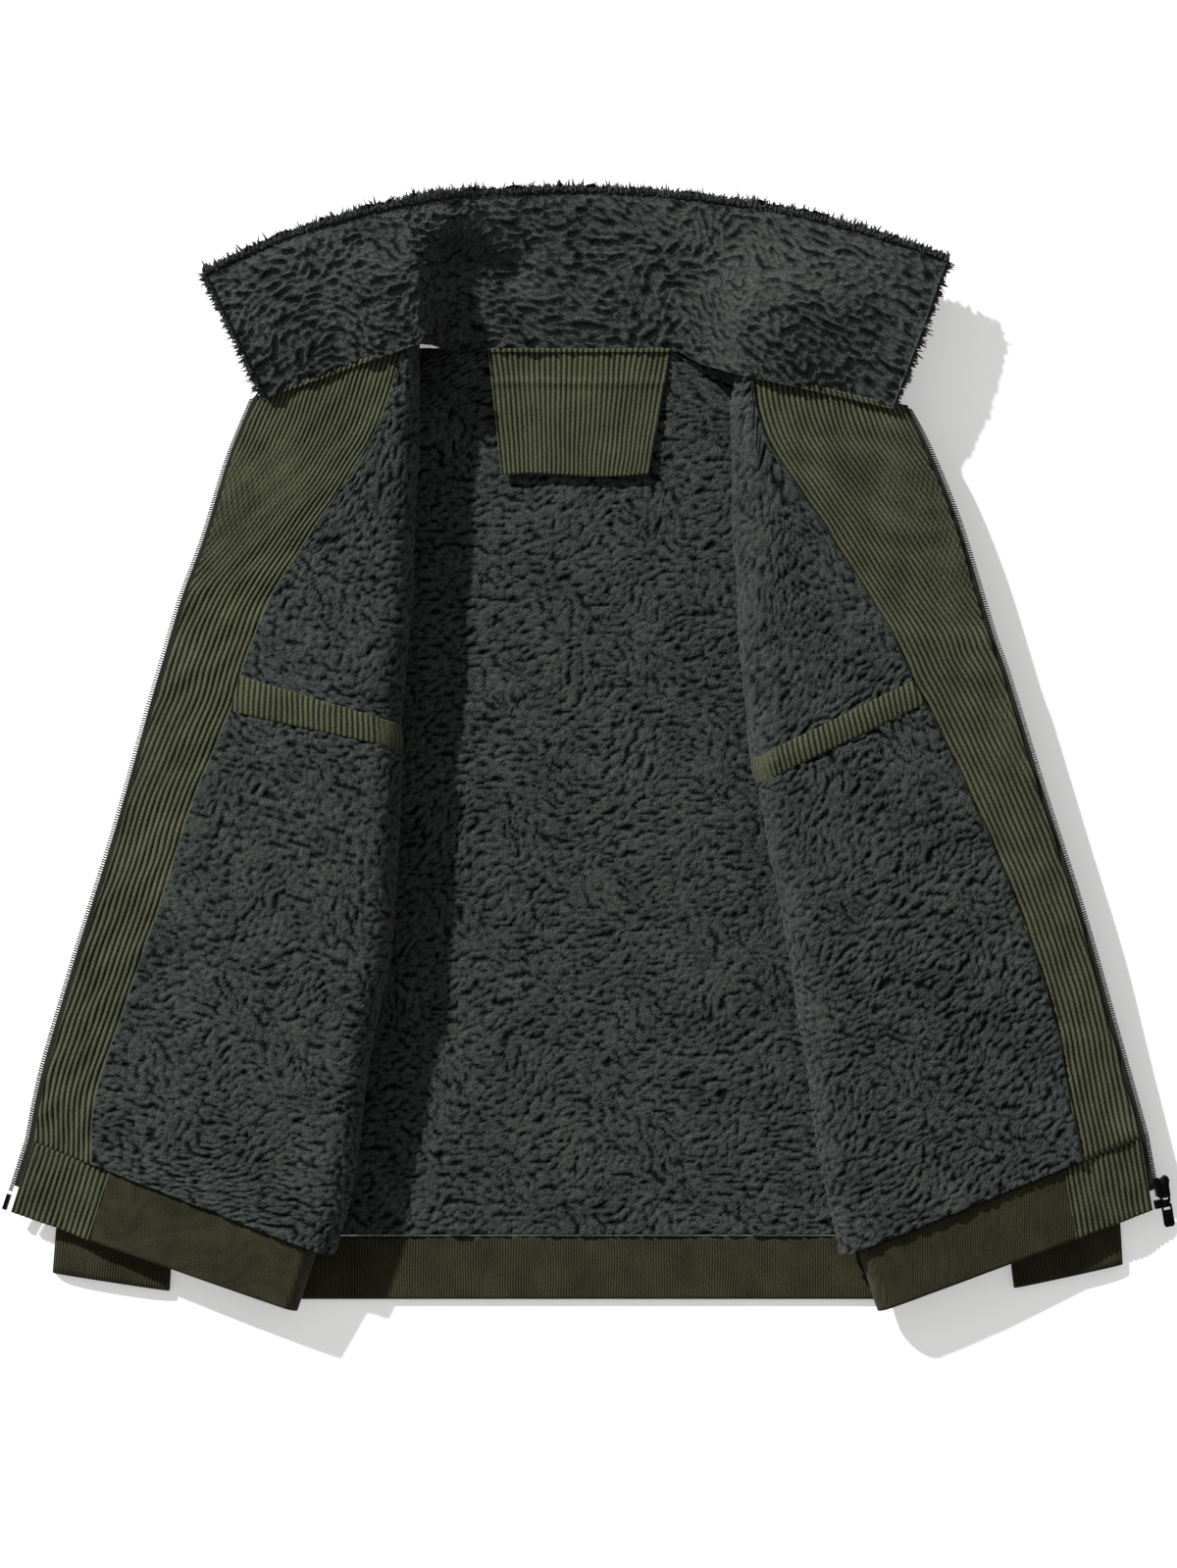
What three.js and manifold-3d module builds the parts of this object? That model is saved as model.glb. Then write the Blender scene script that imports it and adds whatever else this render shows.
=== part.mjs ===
// Corduroy jacket with a fleece lining and collar, laid on its back with both fronts turned back outwards.
// Millimetres, +Z up. The origin is on the surface it lies on, under the middle of the back.
// "left" is the -X side. Every front piece is made from one folded surface, and moved out from it.

import * as THREE from 'three';
import Module from 'manifold-3d';
import { mergeVertices } from 'three/addons/utils/BufferGeometryUtils.js';

const wasm = await Module();
wasm.setup();

// Cloth
const CLOTH = 1.6; // corduroy wall
const FLEECE = 5; // fleece lining wall
const COLLAR_FLEECE = 6;
const SEAM = 0.3; // gap between neighbouring pieces
const SKIN = SEAM / 2; // each layer's distance from the surface that it shares with the next
const RIB_BELOW = 2; // rib band, below and above that surface
const RIB_ABOVE = 2.2;
const BACK_RIB = 4.6;

// Body, laid flat
const NECK_Y = 289;
const NECK_LEFT = [-120, NECK_Y];
const NECK_CORNER = [62, NECK_Y];
const NECK_RIGHT = [103, 270];
const SHOULDER = [228, 246];
const UNDERARM = [242, 40];
const HEM = [228, -348];
const RIB_HEM = [222, -394];

// Fronts
const LOWER_REST = 2 * SEAM + CLOTH + 2 * FLEECE + SKIN; // height of the folded surface's lower layer
const RIB_REST = 9.5;
const TAPE_REACH = 7; // from the cloth's edge to the teeth's outer edge
const CHAIN_WIDTH = 3;
const CHAIN_HALF = 1.2;
const TAPE_HALF = 0.5;
const TAB_WIDTH = 66;
const TAB_ABOVE = 1.9;
const WELT_THICK = 4;
const DROP_POWER = 1.6; // how evenly a front falls from its fold to its zip

// One row for each line across a front, from the neckline down to the hem seam. seam is the height on the
// shoulder, armhole or side seam where the lower layer starts; fold is the turned edge and zip the outer
// edge of the teeth, [x, y]; facing is how far the facing's edge is from the fold; bend is the fold's
// width in plan; crest and edge are the heights at the fold and at the zip.
const LEFT_ROWS = [
  { seam: 246, fold: [-120, 289], zip: [-241, 249], facing: 11, bend: 5, crest: 44, edge: 31 },
  { seam: 208, fold: [-120, 240], zip: [-258, 208], facing: 27, bend: 12, crest: 46, edge: 31 },
  { seam: 140, fold: [-123, 160], zip: [-277, 148], facing: 72, bend: 16, crest: 47, edge: 30 },
  { seam: 80, fold: [-126, 87], zip: [-292, 108], facing: 103, bend: 16, crest: 47, edge: 30 },
  { seam: 40, fold: [-133, 17], zip: [-304, 68], facing: 118, bend: 16, crest: 47, edge: 30 },
  { seam: 20, fold: [-132, 1], zip: [-312, 41], facing: 124, bend: 16, crest: 47, edge: 30 },
  { seam: -70, fold: [-137, -118], zip: [-339, -55], facing: 161, bend: 16, crest: 47, edge: 29 },
  { seam: -160, fold: [-156, -225], zip: [-370, -154], facing: 177, bend: 16, crest: 45, edge: 27 },
  { seam: -262, fold: [-168, -313], zip: [-394, -237], facing: 193, bend: 16, crest: 41, edge: 23 },
  { seam: -347, fold: [-180, -361], zip: [-402, -276.5], facing: 185, bend: 14, crest: 38, edge: 20 },
];
const RIGHT_ROWS = [
  { seam: 246, fold: [103, 270], zip: [229, 242], facing: 11, bend: 5, crest: 44, edge: 31 },
  { seam: 205, fold: [100, 226], zip: [240, 222], facing: 22, bend: 12, crest: 46, edge: 31 },
  { seam: 140, fold: [102, 153], zip: [264, 165], facing: 63, bend: 16, crest: 47, edge: 30 },
  { seam: 80, fold: [107, 72], zip: [283, 104], facing: 102, bend: 16, crest: 47, edge: 30 },
  { seam: 30, fold: [115, -8], zip: [291, 78], facing: 126, bend: 16, crest: 47, edge: 30 },
  { seam: 10, fold: [118.5, -24], zip: [297, 62], facing: 131, bend: 16, crest: 47, edge: 30 },
  { seam: -85, fold: [137, -120], zip: [327, -34], facing: 156, bend: 16, crest: 47, edge: 29 },
  { seam: -170, fold: [150, -200], zip: [353, -114], facing: 174, bend: 16, crest: 45, edge: 27 },
  { seam: -262, fold: [162, -281], zip: [377, -197], facing: 185, bend: 16, crest: 41, edge: 23 },
  { seam: -347, fold: [178, -361], zip: [399, -274], facing: 185, bend: 14, crest: 38, edge: 20 },
];
const WELT_TOP = 4; // rows between which the pocket welt lies
const WELT_BOTTOM = 5;
const HEM_ROW = 9;
const RIB_ROW = 10;
const ROW_GAP = 0.004; // part of a row that leaves a seam's gap
const SHORT_ROW_GAP = 0.015; // the same between the welt's two rows

// The rib band's lower edge, and how far in from the turned edge the band starts
const LEFT_RIB = { fold: [-207.5, -400], zip: [-419, -328], bend: 8, crest: 30, edge: 14 };
const RIGHT_RIB = { fold: [205.5, -400], zip: [409, -326.5], bend: 8, crest: 30, edge: 14 };
const RIB_INSET = 14;
const HEM_GAP = 1.7;

// Collar. Each column runs from the neck seam to the outer edge. along is the distance down a front's
// neckline, or x the place on the back neck; edge is the outer end's x; low and high are the heights.
const LEFT_WING = [
  { along: 117, edge: -272, low: 32, high: 30 },
  { along: 95, edge: -246, low: 34, high: 34 },
  { along: 70, edge: -214, low: 37, high: 35 },
  { along: 45, edge: -184, low: 40, high: 35 },
  { along: 22, edge: -158, low: 43, high: 34 },
  { along: 8, edge: -141, low: 44, high: 32 },
];
const BACK_NECK = [
  { x: -120, edge: -130, low: 44, high: 31 },
  { x: -112, edge: -121, low: 38, high: 29 },
  { x: -104, edge: -111, low: 20, high: 27 },
  { x: -96, edge: -102, low: 7, high: 25 },
  { x: -86, edge: -91, low: 3, high: 21 },
  { x: -72, edge: -76, low: 2, high: 15 },
  { x: -40, edge: -40, low: 1.8, high: 6 },
  { x: 0, edge: 0, low: 1.8, high: 2.5 },
  { x: 35, edge: 40, low: 1.8, high: 3 },
  { x: 62, edge: 75, low: 2.5, high: 5 },
  { x: 82, edge: 104, low: 10, high: 9 },
  { x: 103, edge: 134, low: 38, high: 16 },
];
const RIGHT_WING = [
  { along: 10, edge: 150, low: 43, high: 20 },
  { along: 25, edge: 168, low: 43, high: 23 },
  { along: 50, edge: 192, low: 40, high: 27 },
  { along: 80, edge: 222, low: 35, high: 30 },
  { along: 116, edge: 254, low: 31, high: 32 },
];
const COLLAR_STEPS = [0, 0.25, 0.5, 0.75, 1];
const COLLAR_TOP = 401; // highest point of the collar's edge, at COLLAR_MIDDLE
const COLLAR_MIDDLE = -10;
const COLLAR_FALL_LEFT = 0.00092; // how fast the edge falls away on each side
const COLLAR_FALL_RIGHT = 0.00078;
const COLLAR_CROWN = 4;

// Patch below the neck, corners in order from its upper left, and how far its lower edge lifts
const PATCH = { topLeft: [-72.5, 287], topRight: [59, 288], bottomRight: [43, 196], bottomLeft: [-63, 197] };
const PATCH_LIFT = 4;

// Sleeve, from the armhole to the cuff: inner and outer edges in plan, and the heap's height
const SLEEVE_ROWS = [
  { inner: [242.6, 40], outer: [228.6, 245.5], height: 13.8 },
  { inner: [246, 20], outer: [247, 190], height: 17 },
  { inner: [248, -10], outer: [274, 100], height: 19 },
  { inner: [251, -80], outer: [311, -20], height: 20 },
  { inner: [262, -165], outer: [341, -110], height: 18 },
  { inner: [280, -250], outer: [367, -210], height: 15 },
  { inner: [297, -322], outer: [379, -302], height: 10 },
];
const SLEEVE_SIDES = 8;
const SLEEVE_ROUND = 0.6;
const LEFT_CUFF = { inner: [301, -388], outer: [385, -375] };
const RIGHT_CUFF = { inner: [305, -386], outer: [383, -369] };
const CUFF_HEIGHT = 9;
const CUFF_WALL = 3;
const CUFF_SIDES = 6;

// Zip hardware
const SLIDER_AT = 9.74; // row of the slider's middle
const SLIDER_OUT = 3; // the chain runs through its inner channel
const PLATE_GAP = 2.8; // from the chain's middle to each plate
const PLATE_THICK = 1.4;
const BRIDGE_WIDTH = 2.4;
const PULL_THICK = 1.6;
const PULL_AXIS = [-4.4, 2.4]; // along the slider, and above its top plate
const PULL_TILT = 14 * Math.PI / 180;
const BOX_SIZE = [7, 6, 4.4];
const BOX_ALONG = -11.6;
const CHAIN_END_RIGHT = 9.86;
const CHAIN_END_LEFT = 9.77;
const PIN_START = 9.78;
const PIN_HALF = 1.6;

const material = (color, roughness, metalness = 0) => new THREE.MeshStandardMaterial({ color, roughness, metalness });
const CORDUROY = () => material(0x5e6448, 0.95);
const SHERPA = () => material(0x343a38, 1);
const RIB = () => material(0x3f3e2b, 0.95);
const TAPE = () => material(0x2a2a22, 0.9);
const METAL = () => material(0x1b1c1e, 0.35, 0.8);

const jacket = new THREE.Group();

function add(name, geometry, finish) {
  const mesh = new THREE.Mesh(geometry, finish);
  mesh.name = name;
  jacket.add(mesh);
  return mesh;
}

const mix = THREE.MathUtils.lerp;
const mixPoint = (a, b, f) => [mix(a[0], b[0], f), mix(a[1], b[1], f)];
const distance = (a, b) => Math.hypot(b[0] - a[0], b[1] - a[1]);

// A closed solid from rings of equal length: the first and last ring are its ends.
// paired says that the ring's second half runs back under its first, so both halves split their faces alike.
function loft(rings, closedRing, paired = false) {
  const positions = rings.flat(2);
  const size = rings[0].length;
  const last = rings.length - 1;
  const indices = [];
  for (let i = 0; i < last; i += 1) {
    for (let j = 0; j < size; j += 1) {
      const a = i * size + j;
      const b = i * size + (j + 1) % size;
      if (paired && 2 * j >= size) {
        indices.push(a, b, a + size, b, b + size, a + size);
      } else {
        indices.push(a, b, b + size, a, b + size, a + size);
      }
    }
  }
  for (const [ring, turned] of [[0, true], [last, false]]) {
    for (const [a, b, c] of closedRing) {
      const start = ring * size;
      indices.push(start + a, start + (turned ? c : b), start + (turned ? b : c));
    }
  }
  const geometry = new THREE.BufferGeometry();
  geometry.setAttribute('position', new THREE.Float32BufferAttribute(positions, 3));
  geometry.setIndex(indices);
  return facingOut(geometry);
}

// Turns every face over if the solid is inside out.
function facingOut(geometry) {
  const index = geometry.index.array;
  const corner = (k) => new THREE.Vector3().fromBufferAttribute(geometry.attributes.position, index[k]);
  let volume = 0;
  for (let k = 0; k < index.length; k += 3) {
    volume += corner(k).dot(corner(k + 1).cross(corner(k + 2)));
  }
  if (volume < 0) {
    index.reverse();
  }
  geometry.computeVertexNormals();
  return geometry;
}

// A closed slab: a grid of points above and the same grid below.
function slab(columns, rows, pointAt) {
  const rings = [];
  for (let i = 0; i < columns; i += 1) {
    const upper = [];
    const lower = [];
    for (let j = 0; j < rows; j += 1) {
      upper.push(pointAt(i, j, true));
      lower.unshift(pointAt(i, j, false));
    }
    rings.push([...upper, ...lower]);
  }
  const ends = [];
  for (let j = 0; j < rows - 1; j += 1) {
    const back = 2 * rows - 1 - j;
    ends.push([j, j + 1, back - 1], [j, back - 1, back]);
  }
  return loft(rings, ends, true);
}

function sheet(outline, thick, height) {
  const shape = new THREE.Shape(outline.map(([x, y]) => new THREE.Vector2(x, y)));
  const geometry = new THREE.ExtrudeGeometry(shape, { depth: thick, bevelEnabled: false });
  return geometry.translate(0, 0, height);
}

// x of the body's edge at a height: the armhole above the underarm, the side seam below it
function bodyEdge(y) {
  const [from, to] = y > UNDERARM[1] ? [SHOULDER, UNDERARM] : [UNDERARM, HEM];
  return mix(from[0], to[0], (y - from[1]) / (to[1] - from[1]));
}

// The folded surface of one front. across runs 0 to 1 on the lower layer, 1 to 2 round the fold, 2 to 3 up
// to the facing's edge and 3 to 4 out to the cloth's edge. row runs down the table, and on to RIB_ROW.
class Front {
  constructor(side, rows, rib) {
    this.side = side;
    this.rows = rows;
    this.rib = rib;
    const curve = (key) => new THREE.CatmullRomCurve3(rows.map((r) => new THREE.Vector3(...r[key], 0)));
    this.foldCurve = curve('fold');
    this.zipCurve = curve('zip');
  }

  bodySection(row) {
    const first = Math.min(Math.floor(row), HEM_ROW - 1);
    const part = row - first;
    const value = (key) => mix(this.rows[first][key], this.rows[first + 1][key], part);
    const fold = this.foldCurve.getPoint(row / HEM_ROW);
    const zip = this.zipCurve.getPoint(row / HEM_ROW);
    const seamY = value('seam');
    return {
      fold: [fold.x, fold.y],
      zip: [zip.x, zip.y],
      seam: [this.side * bodyEdge(seamY), seamY],
      facing: value('facing'),
      bend: value('bend'),
      crest: value('crest'),
      edge: value('edge'),
      rest: LOWER_REST,
      start: FLEECE + SKIN,
    };
  }

  ribSection(row) {
    const part = row - HEM_ROW;
    const body = this.bodySection(HEM_ROW);
    const below = ([x, y]) => [x, y - HEM_GAP];
    const top = mixPoint(body.fold, body.zip, RIB_INSET / distance(body.fold, body.zip));
    const fold = mixPoint(below(top), this.rib.fold, part);
    const zip = mixPoint(below(body.zip), this.rib.zip, part);
    return {
      fold,
      zip,
      seam: [this.side * mix(HEM[0], RIB_HEM[0], part), mix(HEM[1] - 2 * HEM_GAP, RIB_HEM[1], part)],
      facing: distance(fold, zip) - TAB_WIDTH,
      bend: this.rib.bend,
      crest: mix(body.crest - 2, this.rib.crest, part),
      edge: mix(body.edge, this.rib.edge, part),
      rest: RIB_REST,
      start: RIB_ABOVE,
    };
  }

  section(row) {
    return row > HEM_ROW ? this.ribSection(row) : this.bodySection(row);
  }

  // Height and slope of the upper layer at a distance from the fold
  upper(cut, reach) {
    const begin = cut.start + cut.bend;
    const span = distance(cut.fold, cut.zip) - begin;
    const part = Math.max(reach - begin, 0) / span;
    const drop = cut.crest - cut.edge;
    const slope = -drop * DROP_POWER * part ** (DROP_POWER - 1) / span;
    return { z: cut.crest - drop * part ** DROP_POWER, slope };
  }

  // Place on the surface at a distance from the fold, moved out by offset square to it
  atReach(row, reach, offset) {
    const cut = this.section(row);
    const out = mixPoint(cut.fold, cut.zip, 1 / distance(cut.fold, cut.zip));
    const { z, slope } = this.upper(cut, reach);
    const steep = Math.hypot(1, slope);
    const along = reach - offset * slope / steep;
    const x = cut.fold[0] + (out[0] - cut.fold[0]) * along;
    const y = cut.fold[1] + (out[1] - cut.fold[1]) * along;
    return [x, y, z + offset / steep];
  }

  fromZip(row, inwards, offset) {
    const cut = this.section(row);
    return this.atReach(row, distance(cut.fold, cut.zip) - inwards, offset);
  }

  point(across, row, offset) {
    const cut = this.section(row);
    const width = distance(cut.fold, cut.zip);
    const begin = cut.start + cut.bend;
    if (across >= 3) {
      return this.atReach(row, mix(cut.facing, width - TAPE_REACH, across - 3), offset);
    }
    if (across >= 2) {
      return this.atReach(row, mix(begin, cut.facing, across - 2), offset);
    }
    const upperDirection = mixPoint([0, 0], [cut.zip[0] - cut.fold[0], cut.zip[1] - cut.fold[1]], 1 / width);
    const depth = distance(cut.fold, cut.seam);
    const lowerDirection = mixPoint([0, 0], [cut.seam[0] - cut.fold[0], cut.seam[1] - cut.fold[1]], 1 / depth);
    if (across <= 1) {
      const reach = mix(depth, begin, across);
      return [
        cut.fold[0] + lowerDirection[0] * reach,
        cut.fold[1] + lowerDirection[1] * reach,
        cut.rest - offset,
      ];
    }
    const turn = (across - 1.5) * Math.PI;
    const direction = mixPoint(lowerDirection, upperDirection, across - 1);
    const tall = (cut.crest - cut.rest) / 2;
    const reach = begin - (cut.bend + offset) * Math.cos(turn);
    return [
      cut.fold[0] + direction[0] * reach,
      cut.fold[1] + direction[1] * reach,
      (cut.crest + cut.rest) / 2 + (tall + offset) * Math.sin(turn),
    ];
  }

  // A piece over a list of places across, at the rows that rowsAt gives for each place
  piece(places, rowsAt, low, high) {
    const count = rowsAt(places[0]).length;
    const at = (i, j) => rowsAt(places[i])[j];
    return slab(places.length, count, (i, j, top) => this.point(places[i], at(i, j), top ? high : low));
  }

  // A narrow strip beside the zip, between two distances in from the teeth's edge
  strip(rows, outerEdge, innerEdge, half) {
    return slab(rows.length, 2, (i, j, top) => (
      this.fromZip(rows[i], j ? innerEdge : outerEdge, top ? half : -half)
    ));
  }
}

const FOLD_PLACES = [1, 2, 3, 4, 5, 6, 7].map((k) => 1 + k / 7);
const WELT_PLACE = FOLD_PLACES[3];
const WELT_NEXT = WELT_PLACE + 0.006;
const WELT_FIRST = WELT_NEXT + 0.01;
const LOWER_PLACES = [0, 0.5, 1];
const evenly = (count) => Array.from({ length: count + 1 }, (_, k) => k / count);

const HALF_ROWS = evenly(8).map((part) => part * WELT_TOP);
const LOWER_ROWS = evenly(8).map((part) => mix(WELT_BOTTOM, HEM_ROW, part));
const ALL_ROWS = [...HALF_ROWS, ...LOWER_ROWS];
const UPPER_LINING_ROWS = HALF_ROWS.slice(0, -1);

function frontPieces(front, name) {
  const always = (rows) => () => rows;
  const lining = [...LOWER_PLACES, ...FOLD_PLACES, 2.5, 3 - 0.002];
  const upperLining = [...LOWER_PLACES, ...FOLD_PLACES.slice(0, 4), WELT_NEXT, ...FOLD_PLACES.slice(4), 2.5, 3 - 0.002];
  const upperRows = (across) => (across > WELT_PLACE
    ? [...UPPER_LINING_ROWS, WELT_TOP - 2 * ROW_GAP, WELT_TOP - ROW_GAP]
    : [...UPPER_LINING_ROWS, WELT_TOP, WELT_BOTTOM - SHORT_ROW_GAP]);
  const lowerRows = always([WELT_BOTTOM + ROW_GAP, ...LOWER_ROWS.slice(1)]);
  const welt = [WELT_FIRST, ...FOLD_PLACES.slice(4), 2.5, 3 - 0.002];
  const weltRows = always([WELT_TOP + SHORT_ROW_GAP, WELT_BOTTOM - SHORT_ROW_GAP]);
  const shell = [...LOWER_PLACES, ...FOLD_PLACES, 2.5, 3, 3.5, 4];
  const facing = [3 + 0.003, 3.5, 4];
  const liningTop = SKIN + FLEECE;
  add(`front_shell_${name}`, front.piece(shell, always(ALL_ROWS), -SKIN - CLOTH, -SKIN), CORDUROY());
  add(`front_lining_upper_${name}`, front.piece(upperLining, upperRows, SKIN, liningTop), SHERPA());
  add(`front_lining_lower_${name}`, front.piece(lining, lowerRows, SKIN, liningTop), SHERPA());
  add(`pocket_welt_${name}`, front.piece(welt, weltRows, SKIN, SKIN + WELT_THICK), CORDUROY());
  add(`facing_${name}`, front.piece(facing, always(ALL_ROWS), SKIN, SKIN + CLOTH), CORDUROY());
  const band = [0, 1, ...FOLD_PLACES, 2.5, 3 - 0.003];
  const bandRows = always([HEM_ROW + 0.0001, HEM_ROW + 0.5, RIB_ROW]);
  add(`hem_rib_${name}`, front.piece(band, bandRows, -RIB_BELOW, RIB_ABOVE), RIB());
  add(`hem_tab_${name}`, front.piece(facing, bandRows, -SKIN - CLOTH, TAB_ABOVE), CORDUROY());
}

function zipStrips(front, name, chainEnd) {
  const rows = [...ALL_ROWS, mix(HEM_ROW, chainEnd, 0.5), chainEnd];
  const tapeOut = CHAIN_WIDTH + SEAM;
  add(`zip_tape_${name}`, front.strip(rows, tapeOut, TAPE_REACH - 2 * SEAM, TAPE_HALF), TAPE());
  add(`zip_chain_${name}`, front.strip(rows, 0, CHAIN_WIDTH, CHAIN_HALF), METAL());
}

function backPieces() {
  const mirrored = ([x, y]) => [-x, y];
  const outline = [
    NECK_LEFT, mirrored(SHOULDER), mirrored(UNDERARM), mirrored(HEM), HEM, UNDERARM, SHOULDER, NECK_RIGHT, NECK_CORNER,
  ];
  add('back_shell', sheet(outline, CLOTH, 0), CORDUROY());
  add('back_lining', sheet(outline, FLEECE, CLOTH + SEAM), SHERPA());
  const below = HEM[1] - SEAM;
  const band = [[-HEM[0], below], mirrored(RIB_HEM), RIB_HEM, [HEM[0], below]];
  add('hem_rib_back', sheet(band, BACK_RIB, 0), RIB());
}

function neckPatch() {
  const rest = CLOTH + 2 * SEAM + FLEECE;
  return slab(4, 4, (i, j, top) => {
    const high = mixPoint(PATCH.topLeft, PATCH.topRight, i / 3);
    const low = mixPoint(PATCH.bottomLeft, PATCH.bottomRight, i / 3);
    const [x, y] = mixPoint(high, low, j / 3);
    return [x, y, rest + PATCH_LIFT * (j / 3) ** 2 + (top ? CLOTH : 0)];
  });
}

// The collar's columns as plan points at the seam and at the edge, with their heights
function collarColumns(left, right) {
  const edgeY = (x) => COLLAR_TOP - (x < COLLAR_MIDDLE ? COLLAR_FALL_LEFT : COLLAR_FALL_RIGHT) * (x - COLLAR_MIDDLE) ** 2;
  const onFront = (front, column) => {
    const { fold, zip } = front.bodySection(0);
    const width = distance(fold, zip);
    const [x, y] = mixPoint(fold, zip, column.along / width);
    const up = [Math.abs(zip[1] - fold[1]) * -front.side * -1 / width, Math.abs(zip[0] - fold[0]) / width];
    return [x + up[0] * 2 * SEAM, y + up[1] * 2 * SEAM];
  };
  const onBack = (column) => {
    const slant = Math.max(column.x - NECK_CORNER[0], 0) / (NECK_RIGHT[0] - NECK_CORNER[0]);
    return [column.x, mix(NECK_Y, NECK_RIGHT[1], slant) + 2 * SEAM];
  };
  const place = (column, seam) => ({ ...column, seam, outer: [column.edge, edgeY(column.edge)] });
  return [
    ...LEFT_WING.map((c) => place(c, onFront(left, c))),
    ...BACK_NECK.map((c) => place(c, onBack(c))),
    ...RIGHT_WING.map((c) => place(c, onFront(right, c))),
  ];
}

function collar(columns, low, high) {
  return slab(columns.length, COLLAR_STEPS.length, (i, j, top) => {
    const step = COLLAR_STEPS[j];
    const [x, y] = mixPoint(columns[i].seam, columns[i].outer, step);
    const rise = THREE.MathUtils.smoothstep(step, 0.15, 0.95);
    const crown = COLLAR_CROWN * Math.sin(Math.PI * step);
    return [x, y, mix(columns[i].low, columns[i].high, rise) + crown + (top ? high : low)];
  });
}

function sleeve(side) {
  const rings = SLEEVE_ROWS.map(({ inner, outer, height }) => (
    evenly(SLEEVE_SIDES).map((part) => {
      const turn = part * Math.PI;
      const [x, y] = mixPoint(inner, outer, (1 - Math.cos(turn)) / 2);
      return [side * x, y, height * Math.max(Math.sin(turn), 0) ** SLEEVE_ROUND];
    })
  ));
  const fan = Array.from({ length: SLEEVE_SIDES - 1 }, (_, k) => [0, k + 1, k + 2]);
  return loft(rings, fan);
}

// A flattened rib tube: two layers joined at both sides, with a narrow slit between them
function cuff(side, end) {
  const last = SLEEVE_ROWS[SLEEVE_ROWS.length - 1];
  const outline = (from, to, shrink) => {
    const width = distance(from, to);
    const half = CUFF_HEIGHT / 2 - shrink;
    const round = (centre, begin) => evenly(CUFF_SIDES / 2).map((part) => {
      const turn = begin + part * Math.PI;
      return [centre + half * Math.cos(turn), CUFF_HEIGHT / 2 + half * Math.sin(turn)];
    });
    const flat = [...round(width - CUFF_HEIGHT / 2, -Math.PI / 2), ...round(CUFF_HEIGHT / 2, Math.PI / 2)];
    return flat.map(([reach, z]) => {
      const [x, y] = mixPoint(from, to, reach / width);
      return [side * x, y, z];
    });
  };
  const start = { inner: [last.inner[0], last.inner[1] - 0.5], outer: [last.outer[0], last.outer[1] - 0.5] };
  const rings = [start, end].map(({ inner, outer }) => (
    [...outline(inner, outer, 0), ...outline(inner, outer, CUFF_WALL)]
  ));
  return ringTube(rings);
}

// A tube with a wall: each ring lists its outer outline, then its inner outline
function ringTube(rings) {
  const size = rings[0].length / 2;
  const total = 2 * size;
  const indices = [];
  const quad = (a, b, c, d) => indices.push(a, b, c, a, c, d);
  for (let j = 0; j < size; j += 1) {
    const next = (j + 1) % size;
    quad(j, next, total + next, total + j);
    quad(size + next, size + j, total + size + j, total + size + next);
    quad(next, j, size + j, size + next);
    quad(total + j, total + next, total + size + next, total + size + j);
  }
  const geometry = new THREE.BufferGeometry();
  geometry.setAttribute('position', new THREE.Float32BufferAttribute(rings.flat(2), 3));
  geometry.setIndex(indices);
  return facingOut(geometry);
}

const toSolid = (geometry) => {
  const bare = geometry.clone();
  bare.deleteAttribute('normal');
  bare.deleteAttribute('uv');
  const merged = mergeVertices(bare, 1e-4);
  return new wasm.Manifold(new wasm.Mesh({
    numProp: 3,
    vertProperties: merged.attributes.position.array,
    triVerts: Uint32Array.from(merged.index.array),
  }));
};

const toGeometry = (solid) => {
  const { vertProperties, triVerts } = solid.getMesh();
  const geometry = new THREE.BufferGeometry();
  geometry.setAttribute('position', new THREE.BufferAttribute(vertProperties, 3));
  geometry.setIndex(new THREE.BufferAttribute(triVerts, 1));
  geometry.computeVertexNormals();
  return geometry;
};

const outlineOf = (points) => new THREE.Shape(points.map(([x, y]) => new THREE.Vector2(x, y)));
const extrude = (shape, depth) => new THREE.ExtrudeGeometry(shape, { depth, bevelEnabled: false });

// Slider: two plates on a post, with a bridge for the pull. Its own +Y points up the zip.
function slider() {
  const plate = outlineOf([
    [-3.6, -7.5], [3.6, -7.5], [4.4, -6.5], [4.6, 0], [5.6, 4.5], [5, 7], [3.2, 7.6], [0, 5.6],
    [-3.2, 7.6], [-5, 7], [-5.6, 4.5], [-4.6, 0], [-4.4, -6.5],
  ]);
  const post = outlineOf([[-1, 1.5], [0, 0.5], [1, 1.5], [1.4, 4.6], [0, 5.6], [-1.4, 4.6]]);
  const bridge = outlineOf([
    [4.8, -0.5], [4.8, 3.4], [3.2, 5.2], [-5.4, 5.6], [-7.2, 4.4], [-7.2, -0.5],
    [-6, -0.5], [-6, 3.6], [-5.2, 4.4], [2.6, 4], [3.4, 3], [3.4, -0.5],
  ]);
  const top = extrude(plate, PLATE_THICK).translate(0, 0, PLATE_GAP);
  const bottom = extrude(plate, PLATE_THICK).translate(0, 0, -PLATE_GAP - PLATE_THICK);
  const middle = extrude(post, 2 * PLATE_GAP + 1).translate(0, 0, -PLATE_GAP - 0.5);
  const arch = extrude(bridge, BRIDGE_WIDTH);
  arch.applyMatrix4(new THREE.Matrix4().makeBasis(
    new THREE.Vector3(0, 1, 0), new THREE.Vector3(0, 0, 1), new THREE.Vector3(1, 0, 0),
  ));
  arch.translate(-BRIDGE_WIDTH / 2, 0, PLATE_GAP + PLATE_THICK);
  return toGeometry([top, bottom, middle, arch].map(toSolid).reduce((a, b) => a.add(b)));
}

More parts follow.
